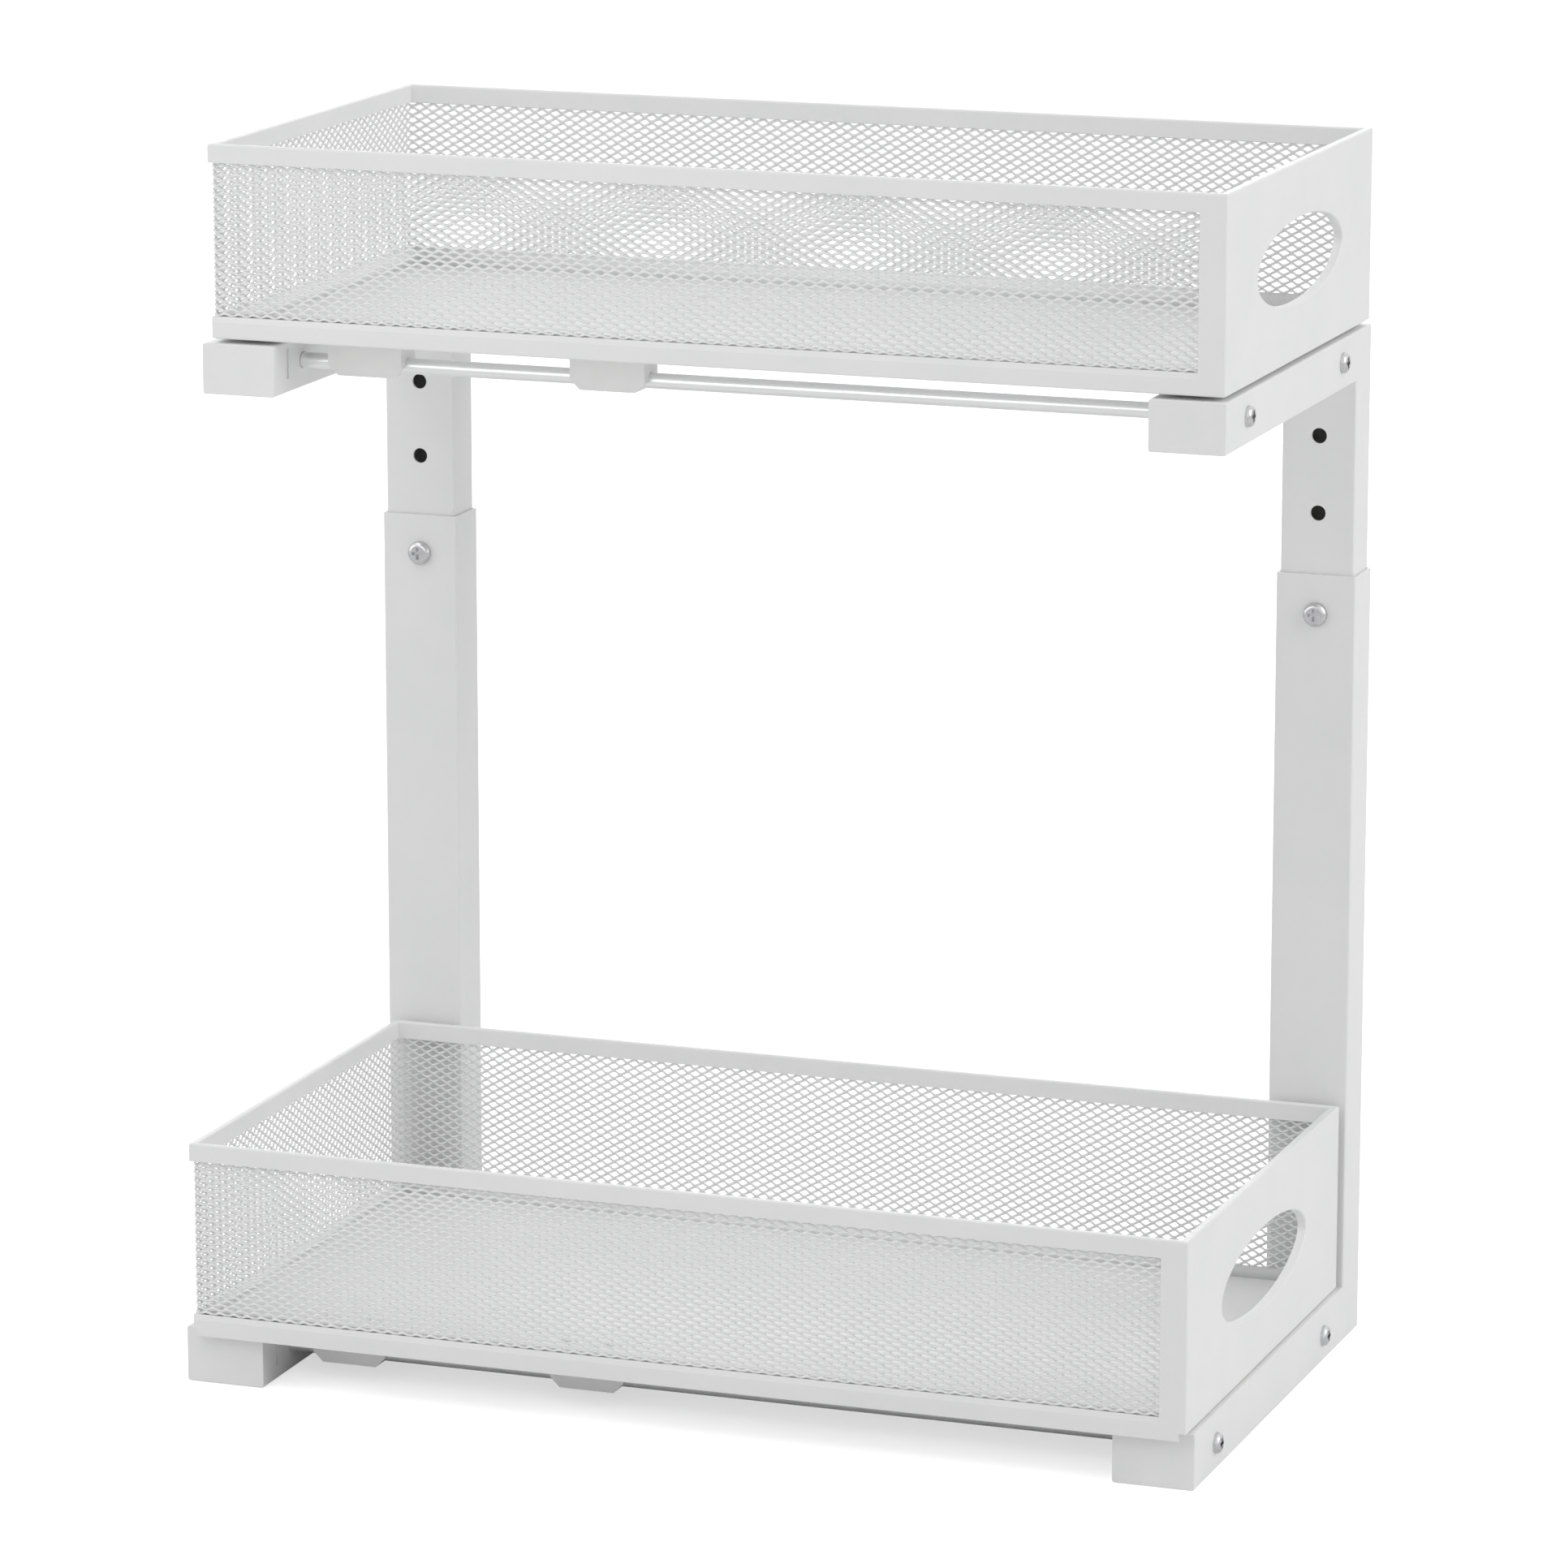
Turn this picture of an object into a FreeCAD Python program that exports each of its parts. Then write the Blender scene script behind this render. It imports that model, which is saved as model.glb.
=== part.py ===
"""Two-tier pull-out under-sink organizer: two telescoping end frames that carry two sliding mesh baskets.

X runs along the baskets and is the way they pull out, with the handle panels at +X. Y runs from the open side at -Y
to the posts at +Y. Z is up from the floor. The origin is the bottom centre of the whole object. Sizes are in mm.
"""
import FreeCAD
import Part
import math
import os
import re

doc = FreeCAD.newDocument("organizer")

# Sizes that are set by themselves.
SIZES = {
    # baskets
    "basket_length": 400.0,
    "basket_height": 74.0,
    "lower_basket_width": 204.0,
    "upper_basket_width": 195.0,
    "floor_sheet": 1.0,
    "lip_height": 8.5,
    "lip_lean": 2.2,
    "lower_lip_drop": 2.6,
    "tray_round": 2.0,
    "mesh_sheet": 0.8,
    "mesh_cell_long": 15.0,
    "mesh_cell_short": 9.0,
    "mesh_strand": 1.7,
    "mesh_border": 2.0,
    "bend_gap": 0.6,
    "fold_round": 0.8,
    "rim_height": 7.0,
    "rim_sheet": 0.9,
    "band_width": 7.5,
    "panel_sheet": 1.2,
    "panel_return": 3.0,
    "hand_hole_width": 114.0,
    "hand_hole_height": 32.0,
    "hand_hole_flange": 2.4,
    # frame tubes
    "tube_width": 29.5,
    "tube_depth": 19.5,
    "tube_wall": 1.0,
    "tube_round": 1.0,
    "slide_gap": 0.2,
    "post_top": 306.3,
    "post_reach": 76.1,
    "post_insert": 86.0,
    # where the baskets sit on the frame
    "handle_end_inset": 2.1,
    "back_end_inset": 4.1,
    "post_gap": 3.1,
    "foot_setback": 4.3,
    "arm_overhang": 1.5,
    "lower_basket_gap": 0.4,
    "upper_basket_gap": 1.6,
    # end caps of the tubes
    "cap_plate": 1.5,
    "cap_plug": 16.0,
    "cap_gap": 0.15,
    "cap_round": 0.4,
    "latch_setback": 12.2,
    "latch_width": 2.0,
    "latch_bottom": 5.3,
    "latch_top": 2.5,
    "barb_sink": 0.7,
    # slide rods and the screws in their ends
    "rod_diameter": 6.0,
    "rod_inset": 27.5,
    "rod_rise": 10.5,
    "lower_rod_spacing": 146.2,
    "upper_rod_spacing": 127.9,
    "rod_gap": 0.2,
    "rod_screw_diameter": 4.0,
    "rod_screw_head": 8.0,
    "rod_screw_head_height": 2.4,
    "rod_screw_reach": 12.0,
    "screw_gap": 0.2,
    "thread_gap": 0.05,
    "recess_width": 1.3,
    "recess_depth": 1.5,
    # height lock
    "lock_drop": 15.6,
    "lock_step_low": 39.5,
    "lock_step_high": 30.2,
    "lock_hole": 6.0,
    "lock_screw_diameter": 5.0,
    "lock_head": 9.6,
    "lock_head_height": 2.8,
    "lock_tip_gap": 0.1,
    # slider blocks under the baskets
    "slider_length": 30.0,
    "slider_width": 14.0,
    "slider_base": 1.0,
    "slider_chamfer": 4.0,
    "slider_gap": 0.1,
    "slider_back": 55.0,
    "slider_pitch": 98.5,
    "rivet_diameter": 3.0,
    "rivet_head": 6.0,
    "rivet_head_height": 1.0,
    "rivet_reach": 4.5,
    "rivet_pitch": 18.0,
}

# Sizes and places that follow from the ones above.
DERIVED = {
    "step": "tube_wall + slide_gap",
    "outer_width": "tube_width + 2 * step",
    "outer_depth": "tube_depth + 2 * step",
    "bore_round": "max(tube_round - tube_wall; 0.3)",
    "plug_round": "max(bore_round - cap_gap; 0.1)",
    "frame_depth": "lower_basket_width + post_gap + outer_depth",
    "post_rear": "frame_depth / 2",
    "inner_rear": "post_rear - step",
    "foot_front": "foot_setback - frame_depth / 2",
    "foot_outer": "(basket_length + handle_end_inset + back_end_inset) / 2",
    "arm_outer": "foot_outer - step",
    "arm_bottom": "post_top + post_reach",
    "arm_top": "arm_bottom + tube_depth",
    "basket_front": "foot_outer - handle_end_inset",
    "basket_back": "basket_front - basket_length",
    "lower_rod_z": "rod_rise",
    "upper_rod_z": "arm_bottom + rod_rise",
    "lower_basket_z": "outer_depth + lower_basket_gap",
    "upper_basket_z": "arm_top + upper_basket_gap",
    "lower_slider_depth": "lower_basket_z - lower_rod_z + rod_diameter / 2 + slider_base",
    "upper_slider_depth": "upper_basket_z - upper_rod_z + rod_diameter / 2 + slider_base",
    "lower_lip_top": "lip_height - lower_lip_drop",
    "upper_lip_top": "lip_height",
    "lower_basket_open": "-frame_depth / 2",
    "upper_basket_open": "inner_rear - upper_basket_width",
    "arm_front": "upper_basket_open - arm_overhang",
    "lower_rod_open": "foot_front + rod_inset",
    "lower_rod_post": "lower_rod_open + lower_rod_spacing",
    "upper_rod_open": "arm_front + rod_inset",
    "upper_rod_post": "upper_rod_open + upper_rod_spacing",
    "lock_z": "post_top - lock_drop",
    "rim_depth": "floor_sheet + mesh_sheet + rim_sheet",
    "mesh_height": "basket_height - floor_sheet - max(rim_sheet; panel_sheet)",
    "mesh_bend": "tray_round - floor_sheet + bend_gap",
    "mesh_turn": "max(floor_sheet + mesh_bend; rim_depth)",
}

sheet = doc.addObject("Spreadsheet::Sheet", "Sizes")
row = 0
for name, number in SIZES.items():
    row += 1
    sheet.set("A%d" % row, name)
    sheet.set("B%d" % row, str(number))
    sheet.setAlias("B%d" % row, name)
for name, formula in DERIVED.items():
    row += 1
    sheet.set("A%d" % row, name)
    sheet.set("B%d" % row, "=" + formula)
    sheet.setAlias("B%d" % row, name)
doc.recompute()

WORDS = re.compile(r"\b(%s)\b" % "|".join(sorted(list(SIZES) + list(DERIVED), key=len, reverse=True)))
X_AXIS = FreeCAD.Vector(1, 0, 0)
Y_AXIS = FreeCAD.Vector(0, 1, 0)
Z_AXIS = FreeCAD.Vector(0, 0, 1)
NODES = []


def value(alias):
    """The number in the sheet's cell of that name."""
    return float(sheet.get(alias))


def bind(thing, **formulas):
    """Ties properties of an object to formulas of the sheet's names."""
    for prop, formula in formulas.items():
        thing.setExpression(prop, WORDS.sub(r"Sizes.\1", str(formula)))


def place(thing, x, y, z):
    """Ties an object's position to formulas of the sheet's names."""
    for prop, formula in (("x", x), ("y", y), ("z", z)):
        thing.setExpression("Placement.Base." + prop, WORDS.sub(r"Sizes.\1", str(formula)))


def node(name, thing):
    """Names a finished piece."""
    thing.Label = name
    NODES.append(thing)
    return thing


def box(x, y, z, length, width, height, turn=0, about=X_AXIS):
    """A block from its lowest corner, turned about an axis through it by some degrees."""
    thing = doc.addObject("Part::Box", "block")
    thing.Placement.Rotation = FreeCAD.Rotation(about, turn)
    bind(thing, Length=length, Width=width, Height=height)
    place(thing, x, y, z)
    return thing


def rod(x, y, z, radius, length, axis):
    """A cylinder that starts at a point and runs along an axis."""
    thing = doc.addObject("Part::Cylinder", "round")
    thing.Placement.Rotation = FreeCAD.Rotation(Z_AXIS, axis)
    bind(thing, Radius=radius, Height=length)
    place(thing, x, y, z)
    return thing


def fuse(*things):
    """One solid from several."""
    thing = doc.addObject("Part::MultiFuse", "joined")
    thing.Shapes = list(things)
    thing.Refine = True
    return thing


def cut(base, *tools):
    """A solid less one or more others."""
    thing = doc.addObject("Part::Cut", "trimmed")
    thing.Base = base
    thing.Tool = tools[0] if len(tools) == 1 else group(*tools)
    return thing


def group(*things):
    """Several separate solids in one object."""
    thing = doc.addObject("Part::Compound", "set")
    thing.Links = list(things)
    return thing


def dress(kind, base, size, choose):
    """Rounds or bevels the edges of a solid that a test picks."""
    base.recompute()
    thing = doc.addObject("Part::" + kind, "dressed")
    thing.Base = base
    thing.Edges = [(i + 1, size, size) for i, edge in enumerate(base.Shape.Edges) if choose(edge)]
    return thing


def runs_along(axis):
    """A test for straight edges along an axis."""
    def test(edge):
        return edge.Curve.TypeId == "Part::GeomLine" and abs(edge.Curve.Direction.dot(axis)) > 0.99
    return test


def at_end(axis, level):
    """A test for round edges at a level along an axis."""
    def test(edge):
        return edge.Curve.TypeId == "Part::GeomCircle" and abs(edge.CenterOfMass.dot(axis) - level) < 1e-4
    return test


def bar(x, y, z, length, width, height, axis, round_name):
    """A block whose four long edges are rounded."""
    return dress("Fillet", box(x, y, z, length, width, height), value(round_name), runs_along(axis))


def tube(x, y, z, length, width, height, axis):
    """An open-ended rectangular tube along Y or Z, rounded inside and out."""
    shell = bar(x, y, z, length, width, height, axis, "tube_round")
    dy = "0" if axis == Y_AXIS else "tube_wall"
    dz = "tube_wall" if axis == Y_AXIS else "0"
    bore = bar("%s + tube_wall" % x, "%s + %s" % (y, dy), "%s + %s" % (z, dz), "%s - 2 * tube_wall" % length,
               "%s - 2 * %s" % (width, dy), "%s - 2 * %s" % (height, dz), axis, "bore_round")
    return cut(shell, bore)


def screw(x, y, z, axis, head, head_height, diameter, shank):
    """A domed screw with a cross recess: the head stands out along the axis from its seat, the shank runs inward."""
    top = FreeCAD.Vector(axis)
    head_solid = rod(x, y, z, "%s / 2" % head, head_height, top)
    head_solid.recompute()
    seat = head_solid.Placement.Base
    level = (seat + top * value(head_height)).dot(top)
    dome = dress("Fillet", head_solid, 0.7 * value(head_height), at_end(top, level))
    stem = rod(x, y, z, "%s / 2" % diameter, shank, top * -1)
    slots = []
    for turn in (0, 90):
        slot = doc.addObject("Part::Box", "slot")
        facing = FreeCAD.Rotation(Z_AXIS, top).multiply(FreeCAD.Rotation(Z_AXIS, turn))
        slot.Placement.Rotation = facing
        bind(slot, Length="%s / 2" % head, Width="recess_width", Height="recess_depth")
        shift = facing.multVec(FreeCAD.Vector(1, 0, 0))
        side = facing.multVec(FreeCAD.Vector(0, 1, 0))
        parts = []
        for i, start in enumerate((x, y, z)):
            parts.append("%s + (%.1f) * (%s - recess_depth) - (%.1f) * %s / 4 - (%.1f) * recess_width / 2"
                         % (start, top[i], head_height, shift[i], head, side[i]))
        place(slot, *parts)
        slots.append(slot)
    return cut(fuse(dome, stem), *slots)


ENDS = (("front", 1), ("back", -1))


def inward(sign, outer, width):
    """The lowest X of a piece of some width whose outer face is at that distance from the middle."""
    return "%s - %s" % (outer, width) if sign > 0 else "-%s" % outer


# The lower frame: at each end a foot and an outer post of the larger tube, mitred together at the rear corner.
lock_screws = []
for end, sign in ENDS:
    x = inward(sign, "foot_outer", "outer_width")
    middle = "%d * (foot_outer - outer_width / 2)" % sign
    wall_x = "foot_outer - outer_width - tube_wall" if sign > 0 else "outer_width - foot_outer - 2 * tube_wall"
    foot = tube(x, "foot_front + cap_plate", "0", "outer_width", "post_rear - foot_front - cap_plate", "outer_depth",
                Y_AXIS)
    mitre = box("%s - 1" % x, "post_rear + outer_depth", "-outer_depth", "outer_width + 2", "2 * outer_depth",
                "3 * outer_depth * sqrt(2)", 45)
    latch = box(wall_x, "foot_front + latch_setback", "latch_bottom", "3 * tube_wall", "latch_width",
                "outer_depth - latch_bottom - latch_top")
    openings = [mitre, latch]
    for place_name in ("lower_rod_open", "lower_rod_post"):
        openings.append(rod("%s - 1" % x if sign > 0 else "-foot_outer + tube_wall + 1", place_name, "lower_rod_z",
                            "rod_diameter / 2 + rod_gap", "outer_width - tube_wall" if sign > 0 else "outer_width",
                            X_AXIS))
        openings.append(rod(x, place_name, "lower_rod_z", "rod_screw_diameter / 2 + screw_gap", "outer_width", X_AXIS))
    node(end + "_foot", cut(foot, *openings))

    post = tube(x, "post_rear - outer_depth", "0", "outer_width", "outer_depth", "post_top", Z_AXIS)
    mitre = box("%s - 1" % x, "post_rear + outer_depth - 2 * outer_depth / sqrt(2)",
                "-outer_depth - 2 * outer_depth / sqrt(2)", "outer_width + 2", "2 * outer_depth",
                "3 * outer_depth * sqrt(2)", 45)
    lock_bore = rod(middle, "post_rear - outer_depth - 1", "lock_z", "lock_screw_diameter / 2 + screw_gap",
                    "tube_wall + 1.5", Y_AXIS)
    node(end + "_lower_post", cut(post, mitre, lock_bore))
    lock_screws.append(screw(middle, "post_rear - outer_depth", "lock_z", Y_AXIS * -1, "lock_head",
                             "lock_head_height", "lock_screw_diameter", "step - lock_tip_gap"))
node("height_lock_screws", group(*lock_screws))

# The upper frame: at each end an arm and an inner post of the smaller tube, which slides in the outer post.
for end, sign in ENDS:
    x = inward(sign, "arm_outer", "tube_width")
    middle = "%d * (arm_outer - tube_width / 2)" % sign
    wall_x = "arm_outer - tube_width - tube_wall" if sign > 0 else "tube_width - arm_outer - 2 * tube_wall"
    arm = tube(x, "arm_front + cap_plate", "arm_bottom", "tube_width", "inner_rear - arm_front - cap_plate",
               "tube_depth", Y_AXIS)
    mitre = box("%s - 1" % x, "inner_rear - 2 * tube_depth", "arm_top - 2 * tube_depth", "tube_width + 2",
                "2 * tube_depth", "3 * tube_depth * sqrt(2)", -45)
    latch = box(wall_x, "arm_front + latch_setback", "arm_bottom + latch_bottom", "3 * tube_wall", "latch_width",
                "tube_depth - latch_bottom - latch_top")
    openings = [mitre, latch]
    for place_name in ("upper_rod_open", "upper_rod_post"):
        openings.append(rod("%s - 1" % x if sign > 0 else "-arm_outer + tube_wall + 1", place_name, "upper_rod_z",
                            "rod_diameter / 2 + rod_gap", "tube_width - tube_wall" if sign > 0 else "tube_width",
                            X_AXIS))
        openings.append(rod(x, place_name, "upper_rod_z", "rod_screw_diameter / 2 + screw_gap", "tube_width", X_AXIS))
    node(end + "_arm", cut(arm, *openings))

    post = tube(x, "inner_rear - tube_depth", "post_top - post_insert", "tube_width", "tube_depth",
                "arm_top - post_top + post_insert", Z_AXIS)
    mitre = box("%s - 1" % x, "inner_rear - 2 * tube_depth - 2 * tube_depth / sqrt(2)",
                "arm_top - 2 * tube_depth + 2 * tube_depth / sqrt(2)", "tube_width + 2", "2 * tube_depth",
                "3 * tube_depth * sqrt(2)", -45)
    openings = [mitre]
    for level in ("lock_z", "lock_z + lock_step_low", "lock_z + lock_step_low + lock_step_high"):
        openings.append(rod(middle, "inner_rear - tube_depth - 1", level, "lock_hole / 2", "tube_wall + 1.5", Y_AXIS))
    node(end + "_upper_post", cut(post, *openings))

# End caps: a plate that closes the tube's open end and a plug with a barb that snaps into the slot in the tube's side.
for end, sign in ENDS:
    for tier, outer, width, depth, face, base in (
            ("foot", "foot_outer", "outer_width", "outer_depth", "foot_front", "0"),
            ("arm", "arm_outer", "tube_width", "tube_depth", "arm_front", "arm_bottom")):
        x = inward(sign, outer, width)
        plate = bar(x, face, base, width, "cap_plate", depth, Y_AXIS, "tube_round")
        plate.recompute()
        front = plate.Shape.BoundBox.YMin
        plate = dress("Fillet", plate, value("cap_round"),
                      lambda edge, front=front: edge.BoundBox.YMax < front + 0.01)
        inset = "tube_wall + cap_gap"
        plug = bar("%s + %s" % (x, inset), "%s + cap_plate" % face, "%s + %s" % (base, inset),
                   "%s - 2 * (tube_wall + cap_gap)" % width, "cap_plug", "%s - 2 * (tube_wall + cap_gap)" % depth,
                   Y_AXIS, "plug_round")
        barb_x = "%s - %s + barb_sink" % (outer, width)
        if sign < 0:
            barb_x = "%s - %s - barb_sink - tube_wall - cap_gap" % (width, outer)
        barb = box(barb_x, "%s + latch_setback + cap_gap" % face, "%s + latch_bottom + cap_gap" % base,
                   "tube_wall + cap_gap", "latch_width - 2 * cap_gap",
                   "%s - latch_bottom - latch_top - 2 * cap_gap" % depth)
        node("%s_%s_cap" % (end, tier), fuse(plate, plug, barb))

# Slide rods: each runs through the inner walls of both tubes to their outer walls, where a screw holds each end.
for tier, outer in (("lower", "foot_outer"), ("upper", "arm_outer")):
    screws = []
    level = tier + "_rod_z"
    for side in ("open", "post"):
        across = "%s_rod_%s" % (tier, side)
        shaft = rod("tube_wall - %s" % outer, across, level, "rod_diameter / 2", "2 * (%s - tube_wall)" % outer, X_AXIS)
        taps = []
        for sign in (1, -1):
            start = "%d * (%s - tube_wall)" % (sign, outer)
            taps.append(rod(start, across, level, "rod_screw_diameter / 2 + thread_gap", "rod_screw_reach + 2",
                            X_AXIS * -sign))
            screws.append(screw("%d * %s" % (sign, outer), across, level, X_AXIS * sign, "rod_screw_head",
                                "rod_screw_head_height", "rod_screw_diameter", "tube_wall + rod_screw_reach"))
        node("%s_%s_side_rod" % (tier, side), cut(shaft, *taps))
    node(tier + "_rod_screws", group(*screws))


def mesh_face(length, height, start, finish, lip):
    """A flat expanded-metal sheet with its lower corner at the origin, in the XZ plane: rows of diamonds, every other
    row set half a cell over, spread evenly between the lip, the rim and the plain borders at its two ends."""
    low = value(lip) - value("floor_sheet") + value("mesh_border")
    high = value("basket_height") - value("rim_height") - value("floor_sheet") - value("mesh_border")
    columns = max(int((length - start - finish) / value("mesh_cell_long")), 1)
    rows = max(int((high - low) / (value("mesh_cell_short") / 2)) - 1, 1)
    cell_x = (length - start - finish) / columns
    cell_z = (high - low) / (rows + 1) * 2
    strand = value("mesh_strand") / 2
    reach_x = cell_x / 2 - strand * math.hypot(cell_x, cell_z) / cell_z
    reach_z = cell_z / 2 - strand * math.hypot(cell_x, cell_z) / cell_x
    corners = [FreeCAD.Vector(0, 0, 0), FreeCAD.Vector(length, 0, 0), FreeCAD.Vector(length, 0, height),
               FreeCAD.Vector(0, 0, height)]
    wires = [Part.makePolygon(corners + corners[:1])]
    for i in range(rows):
        shifted = i % 2
        for j in range(columns - shifted):
            cx = start + cell_x * (j + 0.5 + 0.5 * shifted)
            cz = low + cell_z / 2 * (i + 1)
            ring = [FreeCAD.Vector(cx + reach_x, 0, cz), FreeCAD.Vector(cx, 0, cz + reach_z),
                    FreeCAD.Vector(cx - reach_x, 0, cz), FreeCAD.Vector(cx, 0, cz - reach_z)]
            wires.append(Part.makePolygon(ring + ring[:1]))
    print("mesh sheet %.0f x %.0f mm with %d gaps" % (length, height, len(wires) - 1))
    return Part.makeFace(wires, "Part::FaceMakerBullseye")


def mesh(x, y, z, length, start, finish, lip, turned):
    """One mesh wall: its holed face given the sheet's thickness, along X or turned to run along Y."""
    net = doc.addObject("Part::Feature", "net")
    net.Shape = mesh_face(length, value("mesh_height"), start, finish, lip)
    if turned:
        net.Placement.Rotation = FreeCAD.Rotation(Z_AXIS, 90)
    place(net, x, y, z)
    thing = doc.addObject("Part::Extrusion", "mesh")
    thing.Base = net
    thing.DirMode = "Custom"
    thing.Dir = X_AXIS if turned else Y_AXIS
    thing.Solid = True
    bind(thing, LengthFwd="mesh_sheet")
    return thing


def mesh_corner(x, y, z, turn):
    """The plain border of the back mesh, bent a quarter turn round a corner of the tray."""
    solids = []
    for radius in ("mesh_bend", "mesh_bend - mesh_sheet"):
        thing = doc.addObject("Part::Cylinder", "bend")
        thing.Placement.Rotation = FreeCAD.Rotation(Z_AXIS, turn)
        thing.Angle = 90
        bind(thing, Radius=radius, Height="mesh_height")
        place(thing, x, y, z)
        solids.append(thing)
    return cut(*solids)


def channel(x, y, z, length, width, along, *tools):
    """A folded rim: a U of sheet, open below, with rounded folds, less the tools that fit it to its neighbours."""
    outer = box(x, y, z, length, width, "rim_height")
    outer.recompute()
    top = outer.Shape.BoundBox.ZMax
    folded = dress("Fillet", outer, value("fold_round"),
                   lambda edge: runs_along(along)(edge) and edge.CenterOfMass.z > top - 0.1)
    dx = "0" if along == X_AXIS else "rim_sheet"
    dy = "rim_sheet" if along == X_AXIS else "0"
    hollow = box("%s + %s" % (x, dx), "%s + %s" % (y, dy), "%s - 1" % z, "%s - 2 * %s" % (length, dx),
                 "%s - 2 * %s" % (width, dy), "rim_height - rim_sheet + 1")
    return cut(folded, hollow, *tools)


def mitre_block(y, z, turn, side):
    """A block on one side of the 45 degree line that runs inward from a back corner of the basket."""
    shift = "4 * rim_depth / sqrt(2)"
    dx = "0" if side > 0 else "%s * %s" % ("1" if turn > 0 else "-1", shift)
    dy = "0" if side > 0 else "-1 * %s" % shift
    start_y = "%s - rim_depth" % y if turn > 0 else "%s + rim_depth" % y
    return box("basket_back - rim_depth + %s" % dx, "%s + %s" % (start_y, dy), "%s - 1" % z, "4 * rim_depth",
               "4 * rim_depth", "rim_height + 2", turn, Z_AXIS)


# The baskets: a solid floor tray with an upturned lip, three mesh walls, folded rims, a handle panel and sliders.
for tier in ("lower", "upper"):
    name = tier + "_basket_"
    width = tier + "_basket_width"
    y0 = tier + "_basket_open"
    y1 = "(%s + %s)" % (y0, width)
    z0 = tier + "_basket_z"
    z1 = "(%s + basket_height)" % z0
    panel_x = "(basket_front - panel_sheet)"
    rivets = []
    rivet_holes = []

    # slider blocks: closed round the rod, fixed under the floor by two rivets each
    for side in ("open", "post"):
        across = "%s_rod_%s" % (tier, side)
        for spot, centre in (("back", "(basket_back + slider_back)"),
                             ("front", "(basket_back + slider_back + slider_pitch)")):
            depth = tier + "_slider_depth"
            block = box("%s - slider_length / 2" % centre, "%s - slider_width / 2" % across,
                        "%s - %s" % (z0, depth), "slider_length", "slider_width", depth)
            block.recompute()
            low = block.Shape.BoundBox.ZMin
            block = dress("Chamfer", block, value("slider_chamfer"),
                          lambda edge, low=low: runs_along(Y_AXIS)(edge) and edge.CenterOfMass.z < low + 0.1)
            openings = [rod("%s - slider_length" % centre, across, tier + "_rod_z", "rod_diameter / 2 + slider_gap",
                            "2 * slider_length", X_AXIS)]
            for sign in (1, -1):
                spot_x = "%s + (%d) * rivet_pitch / 2" % (centre, sign)
                openings.append(rod(spot_x, across, "%s - rivet_reach - 0.5" % z0, "rivet_diameter / 2 + thread_gap",
                                    "rivet_reach + 1", Z_AXIS))
                rivet_holes.append(rod(spot_x, across, "%s - 1" % z0, "rivet_diameter / 2 + thread_gap",
                                       "floor_sheet + 2", Z_AXIS))
                head = rod(spot_x, across, "%s + floor_sheet" % z0, "rivet_head / 2", "rivet_head_height", Z_AXIS)
                head.recompute()
                head = dress("Fillet", head, 0.6 * value("rivet_head_height"),
                             at_end(Z_AXIS, head.Shape.BoundBox.ZMax))
                stem = rod(spot_x, across, "%s - rivet_reach" % z0, "rivet_diameter / 2", "rivet_reach + floor_sheet",
                           Z_AXIS)
                rivets.append(fuse(head, stem))
            node("%s%s_side_%s_slider" % (name, side, spot), cut(block, *openings))
    node(name + "slider_rivets", group(*rivets))

    # floor tray: its lips stand on the open side, the post side and the back end and lean in to the mesh at the top; the
    # handle end is open, and the lower tray's open side hangs a little in front of the feet
    lip = tier + "_lip_top"
    tray_length = "basket_length - panel_return"
    outside = box("basket_back", y0, z0, tray_length, width, lip)
    outside.recompute()
    back = outside.Shape.BoundBox.XMin
    rounded = dress("Fillet", outside, value("tray_round"),
                    lambda edge, back=back: runs_along(Z_AXIS)(edge) and edge.CenterOfMass.x < back + 0.1)
    rounded.recompute()
    under = rounded.Shape.BoundBox.ZMin + 0.01
    handle_end = rounded.Shape.BoundBox.XMax - 0.01
    rounded = dress("Fillet", rounded, value("fold_round"), lambda edge, under=under, handle_end=handle_end:
                    edge.BoundBox.ZMax < under and edge.BoundBox.XMin < handle_end)
    hollow = box("basket_back + floor_sheet", "%s + floor_sheet" % y0, "%s + floor_sheet" % z0, "basket_length",
                 "%s - 2 * floor_sheet" % width, lip)
    hollow.recompute()
    back_inside = hollow.Shape.BoundBox.XMin
    hollow = dress("Fillet", hollow, max(value("tray_round") - value("floor_sheet"), 0.2),
                   lambda edge, back=back_inside: runs_along(Z_AXIS)(edge) and edge.CenterOfMass.x < back + 0.1)
    lean = math.atan2(0.7 * value("floor_sheet"), value("lip_lean"))
    off = "4 * floor_sheet * %.6f" % math.cos(lean)
    lean_z = "%s + %s - lip_lean" % (z0, lip)
    raised_z = "%s + 4 * floor_sheet * %.6f" % (lean_z, math.sin(lean))
    lean_length = "%s - band_width + 4 * floor_sheet" % tray_length
    leans = [box("basket_back - 4 * floor_sheet", "%s - %s" % (y0, off), raised_z, lean_length, "4 * floor_sheet",
                 "3 * lip_lean", -math.degrees(lean)),
             box("basket_back - 4 * floor_sheet", y1, lean_z, lean_length, "4 * floor_sheet", "3 * lip_lean",
                 math.degrees(lean)),
             box("basket_back - %s" % off, "%s - 4 * floor_sheet" % y0, raised_z, "4 * floor_sheet",
                 "%s + 8 * floor_sheet" % width, "3 * lip_lean", math.degrees(lean), Y_AXIS)]
    tray = cut(rounded, hollow, *leans, *rivet_holes)
    if tier == "lower":
        tray = fuse(tray, box("basket_back + tray_round", y0, "%s - lower_lip_drop" % z0,
                              "%s - tray_round" % tray_length, "floor_sheet", "lower_lip_drop + 2 * floor_sheet"))
    node(name + "floor_tray", tray)

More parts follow.
